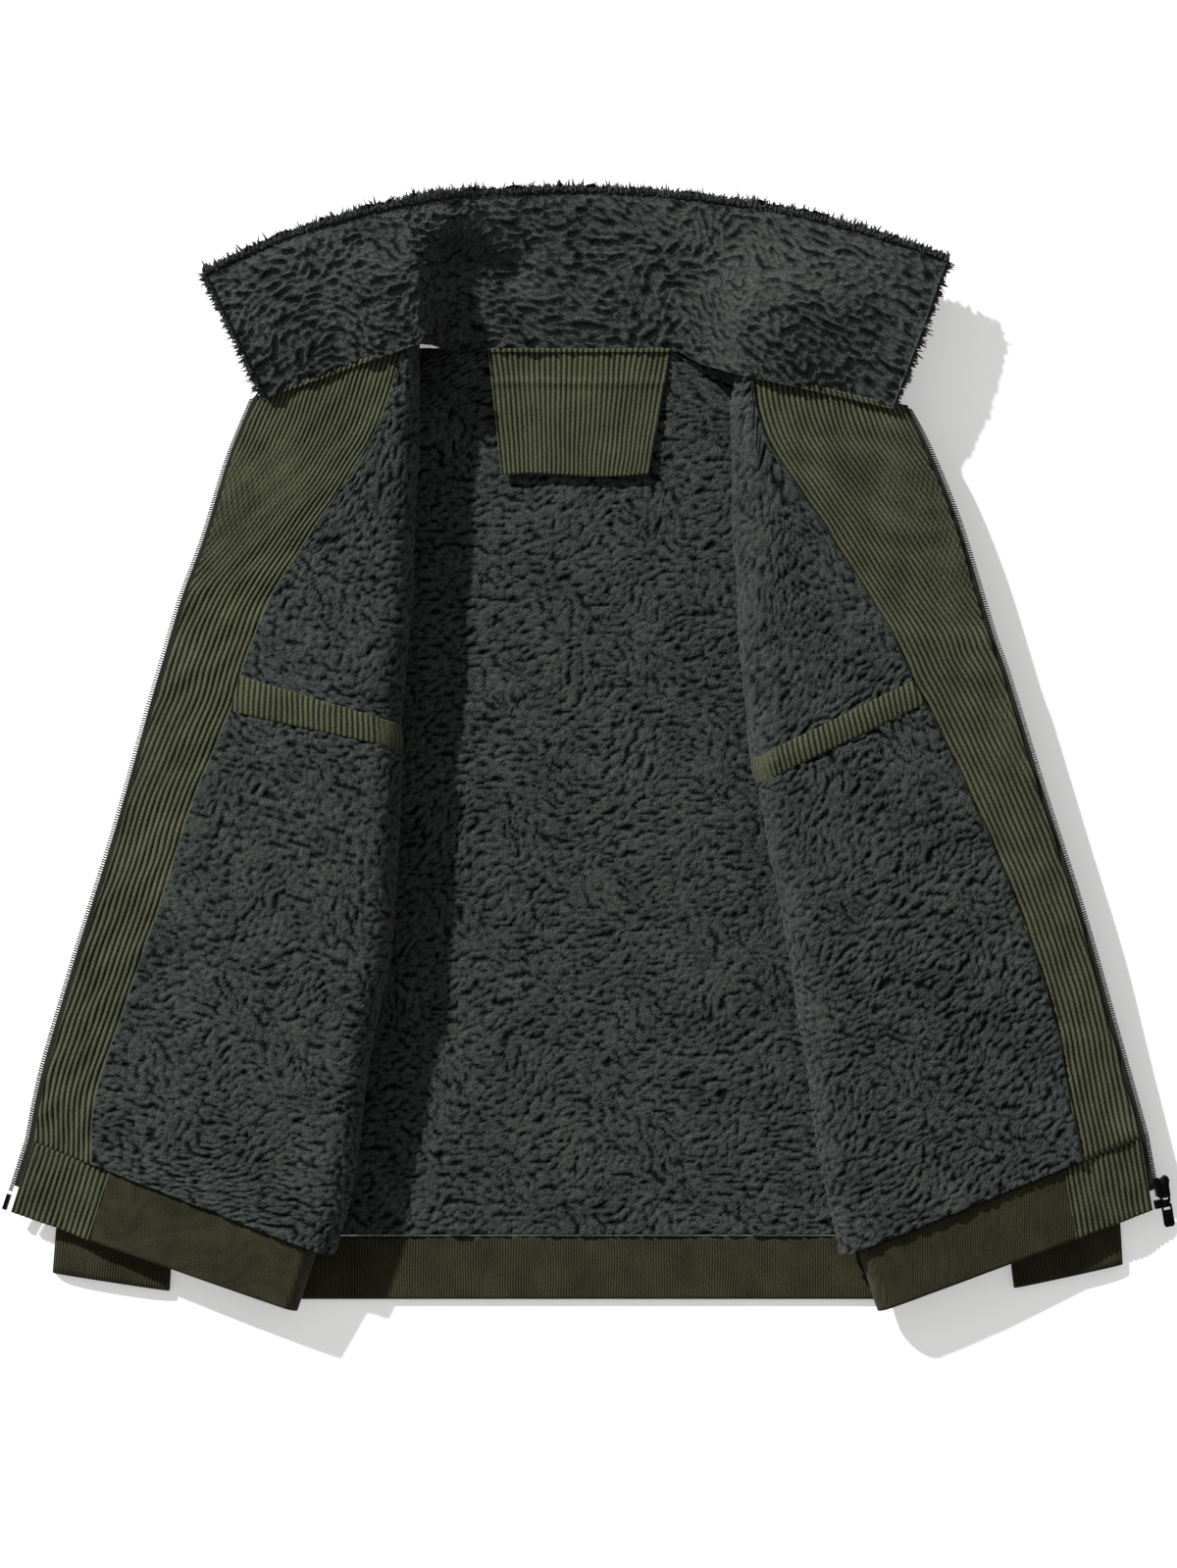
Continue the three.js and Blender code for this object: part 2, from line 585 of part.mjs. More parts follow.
// Pull tab: an eye round the bridge, a neck and a slotted tab. Its axis is the X axis.
function pull() {
  const shape = outlineOf([
    [-3.5, 0.8], [3.5, 0.8], [3.5, -5.2], [2.6, -6.6], [3.8, -8.6], [3.8, -23.4], [2.6, -25], [-2.6, -25],
    [-3.8, -23.4], [-3.8, -8.6], [-2.6, -6.6], [-3.5, -5.2],
  ].reverse());
  const hole = (points) => new THREE.Path(points.map(([x, y]) => new THREE.Vector2(x, y)));
  shape.holes.push(hole([[-1.9, -0.8], [1.9, -0.8], [1.9, -4.6], [-1.9, -4.6]]));
  shape.holes.push(hole([[-2.4, -10], [2.4, -10], [2.4, -12.4], [-2.4, -12.4]]));
  return extrude(shape, PULL_THICK).translate(0, 0, -PULL_THICK / 2);
}

function zipEnds(left, right) {
  const [x, y, z] = right.fromZip(SLIDER_AT, -SLIDER_OUT, 0);
  const above = right.fromZip(HEM_ROW + 0.1, 0, 0);
  const below = right.fromZip(RIB_ROW, 0, 0);
  const frame = new THREE.Group();
  frame.position.set(x, y, z);
  frame.rotation.z = Math.atan2(below[0] - above[0], above[1] - below[1]);
  const body = add('zip_slider', slider(), METAL());
  const tab = add('zip_pull', pull(), METAL());
  tab.position.set(0, PULL_AXIS[0], PLATE_GAP + PLATE_THICK + PULL_AXIS[1]);
  tab.rotation.x = PULL_TILT;
  const box = add('zip_box', new THREE.BoxGeometry(...BOX_SIZE), METAL());
  box.position.set(-SLIDER_OUT - CHAIN_WIDTH / 2, BOX_ALONG, 0);
  frame.add(body, tab, box);
  jacket.add(frame);
  const pinRows = [PIN_START, mix(PIN_START, RIB_ROW, 0.5), RIB_ROW];
  add('zip_pin_left', left.strip(pinRows, -0.2, CHAIN_WIDTH, PIN_HALF), METAL());
}

const left = new Front(-1, LEFT_ROWS, LEFT_RIB);
const right = new Front(1, RIGHT_ROWS, RIGHT_RIB);
backPieces();
add('neck_patch', neckPatch(), CORDUROY());
const columns = collarColumns(left, right);
add('collar_under', collar(columns, -SKIN - CLOTH, -SKIN), CORDUROY());
add('collar_top', collar(columns, SKIN, SKIN + COLLAR_FLEECE), SHERPA());
frontPieces(left, 'left');
frontPieces(right, 'right');
zipStrips(left, 'left', CHAIN_END_LEFT);
zipStrips(right, 'right', CHAIN_END_RIGHT);
add('sleeve_left', sleeve(-1), CORDUROY());
add('sleeve_right', sleeve(1), CORDUROY());
add('cuff_left', cuff(-1, LEFT_CUFF), RIB());
add('cuff_right', cuff(1, RIGHT_CUFF), RIB());
zipEnds(left, right);

export default jacket;
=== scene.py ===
"""Corduroy jacket with a fleece lining, laid on its back with both fronts turned back.
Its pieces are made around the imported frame, which they replace or leave as it is.
Lengths are in millimetres until mesh() turns them into metres."""

import bpy
import numpy as np
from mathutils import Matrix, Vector


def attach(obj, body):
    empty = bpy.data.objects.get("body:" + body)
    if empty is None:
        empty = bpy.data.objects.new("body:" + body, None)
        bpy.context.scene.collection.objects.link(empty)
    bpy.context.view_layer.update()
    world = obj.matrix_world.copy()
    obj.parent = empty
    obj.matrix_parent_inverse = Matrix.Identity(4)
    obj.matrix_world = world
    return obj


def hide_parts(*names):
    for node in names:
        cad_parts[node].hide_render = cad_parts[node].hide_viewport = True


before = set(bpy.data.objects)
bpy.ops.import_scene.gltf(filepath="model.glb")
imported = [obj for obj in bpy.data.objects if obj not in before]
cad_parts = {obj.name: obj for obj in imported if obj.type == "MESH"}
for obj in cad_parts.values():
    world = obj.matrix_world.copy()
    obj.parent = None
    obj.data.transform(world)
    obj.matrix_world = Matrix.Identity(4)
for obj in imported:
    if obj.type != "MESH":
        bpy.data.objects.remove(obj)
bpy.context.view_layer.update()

MM = 0.001
CLOTH, FLEECE, COLLAR_FLEECE, SEAM = 1.6, 5.0, 6.0, 0.3
SKIN = SEAM / 2
NECK_Y, HEM_Y, RIB_Y = 289.0, -348.0, -394.0
SHOULDER, UNDERARM, HEM_X, RIB_X = (228, 246), (242, 40), 228, 222
TAPE_REACH, CHAIN = 7.0, 3.0
DROP_POWER = 1.6
WALE, RIB_PITCH, CLUMP = 4.0, 1.9, 4.8
WELT_TOP, WELT_BOTTOM, HEM_ROW, RIB_ROW = 4, 5, 9, 10

# seam height, fold x y, zip x y, facing's distance from the fold, bend, crest height, edge height
LEFT = np.array([
    (246, -120, 289, -241, 249, 11, 5, 44, 31),
    (208, -120, 240, -258, 208, 27, 12, 46, 31),
    (140, -123, 160, -277, 148, 72, 16, 47, 30),
    (80, -126, 87, -292, 108, 103, 16, 47, 30),
    (40, -133, 17, -304, 68, 118, 16, 47, 30),
    (20, -132, 1, -312, 41, 124, 16, 47, 30),
    (-70, -137, -118, -339, -55, 161, 16, 47, 29),
    (-160, -156, -225, -370, -154, 177, 16, 45, 27),
    (-262, -168, -313, -394, -237, 193, 16, 41, 23),
    (-347, -180, -361, -402, -276.5, 185, 14, 38, 20),
], float)
RIGHT = np.array([
    (246, 103, 270, 229, 242, 11, 5, 44, 31),
    (205, 100, 226, 240, 222, 22, 12, 46, 31),
    (140, 102, 153, 264, 165, 63, 16, 47, 30),
    (80, 107, 72, 283, 104, 102, 16, 47, 30),
    (30, 115, -8, 291, 78, 126, 16, 47, 30),
    (10, 118.5, -24, 297, 62, 131, 16, 47, 30),
    (-85, 137, -120, 327, -34, 156, 16, 47, 29),
    (-170, 150, -200, 353, -114, 174, 16, 45, 27),
    (-262, 162, -281, 377, -197, 185, 16, 41, 23),
    (-347, 178, -361, 399, -274, 185, 14, 38, 20),
], float)
# the rib band's lower edge: fold x y, zip x y
LEFT_RIB = (-207.5, -400, -419, -328)
RIGHT_RIB = (205.5, -400, 409, -326.5)
TAB, RIB_INSET, HEM_GAP = 66.0, 14.0, 0.4

# collar columns: seam x y, edge x, seam height, edge height
COLLAR = np.array([
    (-231, 253, -272, 32, 30), (-210, 260, -246, 34, 34), (-186, 268, -214, 37, 35),
    (-163, 276, -184, 40, 35), (-141, 283, -158, 43, 34), (-120, 290, -130, 44, 31),
    (-112, 290, -121, 38, 29), (-104, 290, -111, 20, 27),
    (-96, 290, -102, 7, 25), (-86, 290, -91, 3, 21), (-72, 290, -76, 2, 15), (-40, 290, -40, 1.8, 6),
    (0, 290, 0, 1.8, 2.5), (35, 290, 40, 1.8, 3), (62, 290, 75, 2.5, 5), (82, 281, 104, 10, 9),
    (103, 271, 134, 38, 16), (128, 265, 168, 43, 23), (152, 260, 192, 40, 27), (181, 254, 222, 35, 30),
    (216, 246, 254, 31, 32),
], float)
# sleeve rows from armhole to cuff: inner x y, outer x y, height; the +X sleeve, which the other mirrors
SLEEVE = np.array([
    (242.6, 40, 228.6, 245.5, 13.8), (246, 20, 247, 190, 17), (248, -10, 274, 100, 19),
    (251, -80, 311, -20, 20), (262, -165, 341, -110, 18), (280, -250, 367, -210, 15),
    (297, -322, 379, -302, 10),
], float)
# a cuff's free end: inner x y, outer x y
CUFF_END = {"left": (301, -388, 385, -375), "right": (305, -386, 383, -369)}
# the back panel: distance below the neck line's zero, and half its width there
BACK_DOWN = (-289, -246, -40, 348)
BACK_HALF = (118, 228, 242, 228)


def smooth(x):
    x = np.clip(x, 0, 1)
    return x * x * (3 - 2 * x)


def column(rows, place):
    """Each column of a table at fractional rows, on a curve that doesn't overshoot."""
    at = np.arange(len(rows), dtype=float)
    step = np.diff(rows, axis=0)
    slope = np.zeros_like(rows)
    same = step[:-1] * step[1:] > 0
    slope[1:-1] = np.where(same, 2 * step[:-1] * step[1:] / np.where(same, step[:-1] + step[1:], 1), 0)
    slope[0], slope[-1] = step[0], step[-1]
    i = np.clip(np.floor(place).astype(int), 0, len(at) - 2)
    f = (place - i)[..., None]
    a, b = rows[i], rows[i + 1]
    return (a * (1 + 2 * f) * (1 - f) ** 2 + slope[i] * f * (1 - f) ** 2
            + b * f * f * (3 - 2 * f) - slope[i + 1] * f * f * (1 - f))


def front(side, rows, rib, across, row, offset):
    """Points of a front's folded surface, as in the CAD, moved out by offset.
    across runs from 0 at the side seam to 4 at the zip, and row from 0 to RIB_ROW."""
    cut = column(rows, np.minimum(row, HEM_ROW))
    seam_y, fold, zipper = cut[..., 0], cut[..., 1:3].copy(), cut[..., 3:5].copy()
    facing, bend, crest, edge = (cut[..., k] for k in (5, 6, 7, 8))
    upper = seam_y > UNDERARM[1]
    above = np.interp(seam_y, (40, 246), (242, 228))
    below = np.interp(seam_y, (HEM_Y, 40), (HEM_X, 242))
    seam_x = np.where(upper, above, below)
    rest, start = 12.35 + 0 * bend, FLEECE + SKIN + 0 * bend
    part = np.clip(row - HEM_ROW, 0, 1)[..., None]
    band = (row > HEM_ROW)
    if band.any():
        w = np.linalg.norm(zipper - fold, axis=-1, keepdims=True)
        top = fold + (zipper - fold) * RIB_INSET / w - np.array((0, HEM_GAP))
        fold = np.where(band[..., None], top * (1 - part) + np.array(rib[:2]) * part, fold)
        rib_zip = (zipper - (0, HEM_GAP)) * (1 - part) + np.array(rib[2:]) * part
        zipper = np.where(band[..., None], rib_zip, zipper)
        p = part[..., 0]
        facing = np.where(band, np.linalg.norm(zipper - fold, axis=-1) - TAB, facing)
        bend = np.where(band, 8, bend)
        rest = np.where(band, 9.5, rest)
        start = np.where(band, 2.2, start)
        crest = np.where(band, (crest - 2) * (1 - p) + 30 * p, crest)
        edge = np.where(band, edge + (14 - edge) * p, edge)
        seam_x = np.where(band, HEM_X + (RIB_X - HEM_X) * p, seam_x)
        seam_y = np.where(band, HEM_Y - 3 + (RIB_Y - HEM_Y + 3) * p, seam_y)
    seam = np.stack([side * seam_x, seam_y], -1)
    width = np.linalg.norm(zipper - fold, axis=-1)
    depth = np.linalg.norm(seam - fold, axis=-1)
    out = (zipper - fold) / width[..., None]
    low = (seam - fold) / depth[..., None]
    begin = start + bend
    reach = np.where(across >= 3, facing + (width - TAPE_REACH - facing) * (across - 3),
                     begin + (facing - begin) * (across - 2))
    frac = np.clip((reach - begin) / (width - begin), 0, None)
    drop = crest - edge
    slope = -drop * DROP_POWER * frac ** (DROP_POWER - 1) / (width - begin)
    steep = np.hypot(1, slope)
    z_up = crest - drop * frac ** DROP_POWER + offset / steep
    r_up = reach - offset * slope / steep
    turn = (np.clip(across, 1, 2) - 1.5) * np.pi
    r_turn = begin - (bend + offset) * np.cos(turn)
    z_turn = (crest + rest) / 2 + ((crest - rest) / 2 + offset) * np.sin(turn)
    mixed = np.clip(across - 1, 0, 1)[..., None]
    r_low, z_low = depth + (begin - depth) * across, rest - offset
    r = np.where(across >= 2, r_up, np.where(across > 1, r_turn, r_low))
    z = np.where(across >= 2, z_up, np.where(across > 1, z_turn, z_low))
    direction = np.where((across >= 2)[..., None], out, low * (1 - mixed) + out * mixed)
    return np.concatenate([fold + direction * r[..., None], z[..., None]], -1)


def normals(points):
    n = np.cross(np.gradient(points, axis=0), np.gradient(points, axis=1))
    n /= np.linalg.norm(n, axis=-1, keepdims=True) + 1e-9
    return n


def lengths(points):
    """Distance run along each direction of a grid, for patterns of a true size."""
    du = np.linalg.norm(np.diff(points, axis=0), axis=-1)
    dv = np.linalg.norm(np.diff(points, axis=1), axis=-1)
    u = np.concatenate([np.zeros((1, points.shape[1])), np.cumsum(du, 0)])
    v = np.concatenate([np.zeros((points.shape[0], 1)), np.cumsum(dv, 1)], 1)
    return u, v


def scatter(ix, iy, seed):
    h = np.sin(ix * 127.1 + iy * 311.7 + seed * 74.7) * 43758.5453
    return h - np.floor(h)


def waves(u, v, size, seed):
    """A soft uneven field from -1 to 1."""
    a = np.sin(u / size * 2.1 + seed) * np.cos(v / size * 1.7 - seed * 2)
    b = np.sin((u + v) / size * 1.3 + seed * 3 + 1.5 * np.sin(v / size * 0.9))
    return (a + b) / 2


def curls(u, v, size, seed):
    """Height of the fleece's curls, 0 to 1: uneven long cells that turn from place to place."""
    lean = 1.3 * waves(u, v, 31, seed)
    a = u + 2.2 * waves(u, v, 9, seed + 2)
    b = v + 2.2 * waves(u, v, 8, seed + 5)
    near = np.full(u.shape, 9.0)
    ix, iy = np.floor(a / size), np.floor(b / size)
    for i in (-1, 0, 1):
        for j in (-1, 0, 1):
            cx, cy = ix + i, iy + j
            dx = a - (cx + 0.15 + 0.7 * scatter(cx, cy, seed)) * size
            dy = b - (cy + 0.15 + 0.7 * scatter(cx, cy, seed + 9)) * size
            p = dx * np.cos(lean) + dy * np.sin(lean)
            q = dy * np.cos(lean) - dx * np.sin(lean)
            near = np.minimum(near, np.hypot(p * 0.75, q * 1.35) / size)
    return np.clip(1 - (near / 0.72) ** 2, 0, 1)


def mesh(name, points, tone, node, material, wall=None, back=None):
    """A grid of points as a piece, with its border turned down by wall along back."""
    nu, nv = points.shape[:2]
    base = points
    tone = np.asarray(tone, float) + np.zeros((nu, nv))
    below = base - (back if back is not None else normals(base)) * wall
    top = points.reshape(-1, 3)
    index = np.arange(nu * nv).reshape(nu, nv)
    quads = [np.stack([index[:-1, :-1], index[1:, :-1], index[1:, 1:], index[:-1, 1:]], -1).reshape(-1, 4)]
    rim = np.concatenate([index[:, 0], index[-1, 1:], index[-2::-1, -1], index[0, -2:0:-1]])
    ring = np.arange(len(rim)) + nu * nv
    ahead = np.roll(np.arange(len(rim)), -1)
    quads.append(np.stack([rim, ring, ring[ahead], rim[ahead]], -1))
    verts = np.concatenate([top, below.reshape(-1, 3)[rim]]) * MM
    data = bpy.data.meshes.new(name)
    data.from_pydata(verts.tolist(), [], np.concatenate(quads).tolist())
    # tone, stored per point, carries the painted shade of the grooves and gaps into the material
    colour = data.color_attributes.new("tone", "FLOAT_COLOR", "POINT")
    value = np.concatenate([tone.reshape(-1), tone.reshape(-1)[rim] * 1.0])
    colour.data.foreach_set("color", np.repeat(value, 4).astype(np.float32))
    data.validate()
    data.shade_smooth()
    piece = bpy.data.objects.new(name, data)
    bpy.context.collection.objects.link(piece)
    data.materials.append(material)
    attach(piece, "root")
    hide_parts(node)
    return piece


def cloth(name, dark, light, bump, scale, rough=0.95, sheen=0.25):
    """Woven or piled cloth: tone mixes dark grooves, which are painted shade, to light tops; noise breaks
    both up.
    """
    m = bpy.data.materials.new(name)
    m.use_nodes = True
    nt = m.node_tree
    shader = nt.nodes["Principled BSDF"]
    shader.inputs["Roughness"].default_value = rough
    shader.inputs["Sheen Weight"].default_value = sheen
    shader.inputs["Sheen Roughness"].default_value = 0.5
    shader.inputs["Specular IOR Level"].default_value = 0.12
    tone = nt.nodes.new("ShaderNodeAttribute")
    tone.attribute_name = "tone"
    place = nt.nodes.new("ShaderNodeTexCoord")
    grain = nt.nodes.new("ShaderNodeTexNoise")
    grain.inputs["Scale"].default_value = scale
    grain.inputs["Detail"].default_value = 4
    patches = nt.nodes.new("ShaderNodeTexNoise")
    patches.inputs["Scale"].default_value = 38
    for n in (grain, patches):
        nt.links.new(place.outputs["Object"], n.inputs["Vector"])
    mixed = nt.nodes.new("ShaderNodeMath")
    mixed.operation = "MULTIPLY_ADD"
    mixed.inputs[1].default_value = 0.9
    nt.links.new(grain.outputs["Fac"], mixed.inputs[0])
    add = nt.nodes.new("ShaderNodeMath")
    add.operation = "MULTIPLY_ADD"
    add.inputs[1].default_value = 0.5
    add.inputs[2].default_value = -0.92
    nt.links.new(patches.outputs["Fac"], add.inputs[0])
    nt.links.new(add.outputs[0], mixed.inputs[2])
    total = nt.nodes.new("ShaderNodeMath")
    nt.links.new(mixed.outputs[0], total.inputs[0])
    nt.links.new(tone.outputs["Fac"], total.inputs[1])
    # the ramp runs from the painted shade of the grooves and gaps (dark) to the tops' own colour (light)
    ramp = nt.nodes.new("ShaderNodeValToRGB")
    ramp.color_ramp.elements[0].color = (*dark, 1)
    ramp.color_ramp.elements[1].color = (*light, 1)
    nt.links.new(total.outputs[0], ramp.inputs[0])
    nt.links.new(ramp.outputs[0], shader.inputs["Base Color"])
    relief = nt.nodes.new("ShaderNodeBump")
    relief.inputs["Distance"].default_value = bump
    nt.links.new(grain.outputs["Fac"], relief.inputs["Height"])
    nt.links.new(relief.outputs[0], shader.inputs["Normal"])
    return m


# for corduroy, fleece and rib the dark colour is painted shade, used in the grooves and gaps
CORDUROY = cloth("corduroy", (0.004, 0.005, 0.0025), (0.108, 0.118, 0.062), 0.001, 900, sheen=0.06)
SHERPA = cloth("fleece", (0.0005, 0.0006, 0.0006), (0.072, 0.083, 0.076), 0.002, 750, sheen=0.05)
RIBBED = cloth("rib", (0.003, 0.003, 0.0015), (0.062, 0.058, 0.028), 0.0004, 1300, sheen=0.03)
TAPE = cloth("tape", (0.008, 0.008, 0.006), (0.04, 0.04, 0.03), 0.0002, 1500, sheen=0.05)
BLACK = cloth("zip_metal", (0.005, 0.005, 0.005), (0.03, 0.03, 0.032), 0.00005, 300, rough=0.35, sheen=0)
BLACK.node_tree.nodes["Principled BSDF"].inputs["Metallic"].default_value = 0.8


def fleeced(base, seed, size=CLUMP, rise=3.4, lift=None):
    """Moves a base grid out into curls. Gives the points, the tone, which is painted shade darkest in the
    gaps between curls, and the base's normals.
    """
    n = normals(base)
    if lift is not None:
        n = n * lift
    u, v = lengths(base)
    c = curls(u, v, size, seed) ** 0.8
    c2 = curls(u + 3.1, v + 1.7, size * 0.55, seed + 3)
    height = rise * (0.75 * c + 0.3 * c2) - rise * 0.6 + 0.8 * waves(u, v, 24, seed)
    # the tone follows the curls' height, so painted shade darkens the gaps between them
    return base + n * height[..., None], -0.12 + 0.78 * c + 0.3 * c2, n


def waled(base, reach, pitch, rise, seed, pucker=0.5):
    """Moves a base grid out into wales or ribs; reach is the distance across them, in mm. The tone it gives
    is painted shade, darkest in the grooves.
    """
    n = normals(base)
    u, v = lengths(base)
    wave = np.abs(np.cos(np.pi * (reach + 0.5 * waves(u, v, 14, seed)) / pitch)) ** 0.8
    soft = pucker * (waves(u, v, 11, seed) + 0.6 * waves(u, v, 26, seed + 1))
    # the tone follows the wale height, so painted shade darkens the grooves
    return base + n * (rise * (wave - 1) + soft)[..., None], -0.1 + 0.95 * wave, n


def front_grid(side, a, r, offset):
    rows, rib = (LEFT, LEFT_RIB) if side < 0 else (RIGHT, RIGHT_RIB)
    across, row = np.meshgrid(a, r, indexing="ij")
    if side > 0:
        across, row = across[:, ::-1], row[:, ::-1]
    return front(side, rows, rib, across, row, offset)


def places(*stretches):
    """Numbers from a list of (start, end, count)."""
    return np.unique(np.concatenate([np.linspace(*s) for s in stretches]))


def make_fronts():
    for side, name in ((-1, "left"), (1, "right")):
        k = 1 if side < 0 else 5
        around = places((0, 1, 20), (1, 2, 34), (2, 3, 72))
        base = front_grid(side, around, np.linspace(0, 4.98, 150), SKIN + FLEECE - 1)
        p, t, n = fleeced(base, k)
        node = f"front_lining_upper_{name}"
        mesh(f"lining_upper_{name}", p, t, node, SHERPA, 4, n)
        around = places((0, 1, 18), (1, 2, 34), (2, 3, 96))
        base = front_grid(side, around, np.linspace(5.0, 8.99, 205), SKIN + FLEECE - 1)
        p, t, n = fleeced(base, k + 1)
        node = f"front_lining_lower_{name}"
        mesh(f"lining_lower_{name}", p, t, node, SHERPA, 4, n)
        shell_around = places((0, 1, 60), (1, 2, 40), (2, 4, 240))
        for part, node, a, r, off, wall in (
            ("facing", "facing", np.linspace(3.0, 4, 170), np.linspace(0, 9, 150), SKIN + 2.6, 2.2),
            ("shell", "front_shell", shell_around, np.linspace(0, 9, 40), -SKIN - 1.5, -1),
            ("tab", "hem_tab", np.linspace(3, 4, 90), np.linspace(9.001, 10, 26), 1.9, 3.4),
        ):
            base = front_grid(side, a, r, off)
            u, v = lengths(base)
            p, t, n = waled(base, u, WALE, 1.3, k, 1.2)
            mesh(f"{part}_{name}", p, t, f"{node}_{name}", CORDUROY, wall, n)
        base = front_grid(side, places((1.6, 2, 16), (2, 3, 170)), np.linspace(3.97, 5.03, 32), SKIN + 5.6)
        u, v = lengths(base)
        p, t, n = waled(base, u, WALE, 0.9, k, 0.2)
        edge = 1.6 * np.sin(np.linspace(0, np.pi, 32)) ** 0.5
        p = p + n * edge[None, :, None]
        mesh(f"welt_{name}", p, t, f"pocket_welt_{name}", CORDUROY, 2.2, n)
        base = front_grid(side, places((0, 1, 24), (1, 2, 40), (2, 3, 240)), np.linspace(9.001, 10, 22), 2)
        u, v = lengths(base)
        p, t, n = waled(base, u, RIB_PITCH, 0.5, k, 0.1)
        mesh(f"rib_{name}", p, t, f"hem_rib_{name}", RIBBED, 3.6, n)


def make_back():
    y = np.linspace(NECK_Y - 1, HEM_Y, 350)
    half = np.interp(-y, BACK_DOWN, BACK_HALF)
    x = np.linspace(-1, 1, 250)[:, None] * half[None, :]
    base = np.stack([x, np.broadcast_to(y, x.shape), np.full(x.shape, 6.2)], -1)[:, ::-1]
    p, t, n = fleeced(base, 11)
    mesh("back_fleece", p, t, "back_lining", SHERPA, 4.2, n)
    y = np.linspace(HEM_Y - 1, RIB_Y, 18)
    x = np.linspace(-1, 1, 900)[:, None] * np.interp(-y, (348, 394), (HEM_X, RIB_X))[None, :]
    base = np.stack([x, np.broadcast_to(y, x.shape), np.full(x.shape, 4.4)], -1)[:, ::-1]
    p, t, n = waled(base, x[:, ::-1], RIB_PITCH, 0.5, 3, 0.1)
    mesh("rib_back", p, t, "hem_rib_back", RIBBED, 4.2, n)
    f, g = np.meshgrid(np.linspace(0, 1, 200), np.linspace(0, 1, 60), indexing="ij")
    x = (-72.5 + 131.5 * f) * (1 - g) + (-63 + 106 * f) * g
    y = 287.5 + (196.5 - 287.5) * g + 1.2 * np.sin(7 * f) * g
    z = 9.2 + 4 * g * g + 1.6 * np.exp(-((g - 0.27) / 0.035) ** 2)
    base = np.stack([x, y, z], -1)[:, ::-1]
    p, t, n = waled(base, (131 * f)[:, ::-1], 3.9, 0.9, 4, 0.2)
    mesh("patch", p, t, "neck_patch", CORDUROY, 1.4, n)


def make_collar():
    s = np.linspace(0, 20, 400)
    f = np.linspace(-0.045, 1, 96)
    seam_x, seam_y, edge_x, low, high = column(COLLAR, s).T
    edge_y = 401 - np.where(edge_x < -10, 0.00092, 0.00078) * (edge_x + 10) ** 2
    rise = smooth((f - 0.42) / 0.45)[None, :]
    x = seam_x[:, None] + (edge_x - seam_x)[:, None] * f
    y = seam_y[:, None] + (edge_y - seam_y)[:, None] * f
    z = low[:, None] * (1 - rise) + high[:, None] * rise + 4 * np.sin(np.pi * f)
    z = z - 5 * np.exp(-((x + 54) / 12) ** 2 - ((y - 343) / 12) ** 2)
    round_off = 4.5 * np.clip((f - 0.9) / 0.1, 0, 1) ** 2
    base = np.stack([x, y, z + 5.5 - round_off], -1)[:, ::-1]
    p, t, n = fleeced(base, 21, 5.4, 4.4)
    mesh("collar", p, t, "collar_top", SHERPA, 5, n)
    base = np.stack([x, y, z - 1.4], -1)[::4, ::-3]
    p, t, n = waled(base, x[::4, ::-3], 4, 0.3, 22, 0.1)
    mesh("collar_shell", p, t, "collar_under", CORDUROY, 0.4, n)
    return np.stack([x, y, z], -1)


def make_tufts(grid):
    """Short locks of pile along the collar's free edges."""
    rng = np.random.default_rng(5)
    edge = np.concatenate([grid[:, -1], grid[0, ::2], grid[-1, ::2]])
    ahead = np.concatenate([
        grid[:, -1] - grid[:, -8], grid[0, ::2] - grid[8, ::2], grid[-1, ::2] - grid[-9, ::2],
    ])
    verts, faces = [], []
    for at, out in zip(np.repeat(edge, 9, 0), np.repeat(ahead, 9, 0)):
        out = out / np.linalg.norm(out) + rng.normal(0, 0.45, 3)
        side = np.cross(out, (0, 0, 1))
        side /= np.linalg.norm(side) + 1e-6
        root = at + np.array((rng.normal(0, 0.8), rng.normal(0, 0.8), rng.uniform(0.5, 4.5)))
        long, wide = rng.uniform(1.5, 4.5), rng.uniform(0.7, 1.3)
        first = len(verts)
        for k in range(4):
            centre = root + out * long * k / 3 + np.array((0, 0, 0.5)) * np.sin(k)
            half = side * wide * (1 - 0.25 * k)
            verts += [centre - half, centre + half, centre + np.array((0, 0, wide))]
        for k in range(3):
            a = first + 3 * k
            faces += [(a, a + 1, a + 4, a + 3), (a + 1, a + 2, a + 5, a + 4), (a + 2, a, a + 3, a + 5)]
        faces += [(first + 9, first + 10, first + 11), (first, first + 2, first + 1)]
    data = bpy.data.meshes.new("collar_tufts")
    data.from_pydata((np.array(verts) * MM).tolist(), [], faces)
    colour = data.color_attributes.new("tone", "FLOAT_COLOR", "POINT")
    colour.data.foreach_set("color", np.full(4 * len(verts), 0.75, np.float32))
    data.materials.append(SHERPA)
    piece = bpy.data.objects.new("collar_tufts", data)
    bpy.context.collection.objects.link(piece)
    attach(piece, "root")


TOOTH_PITCH = 1.75
TOOTH_CORNERS = [(a, o, h) for h in (-1, 1) for a, o in ((-1, -1), (1, -1), (1, 1), (-1, 1))]
TOOTH_FACES = ((0, 3, 2, 1), (4, 5, 6, 7), (0, 1, 5, 4), (1, 2, 6, 5), (2, 3, 7, 6), (3, 0, 4, 7))


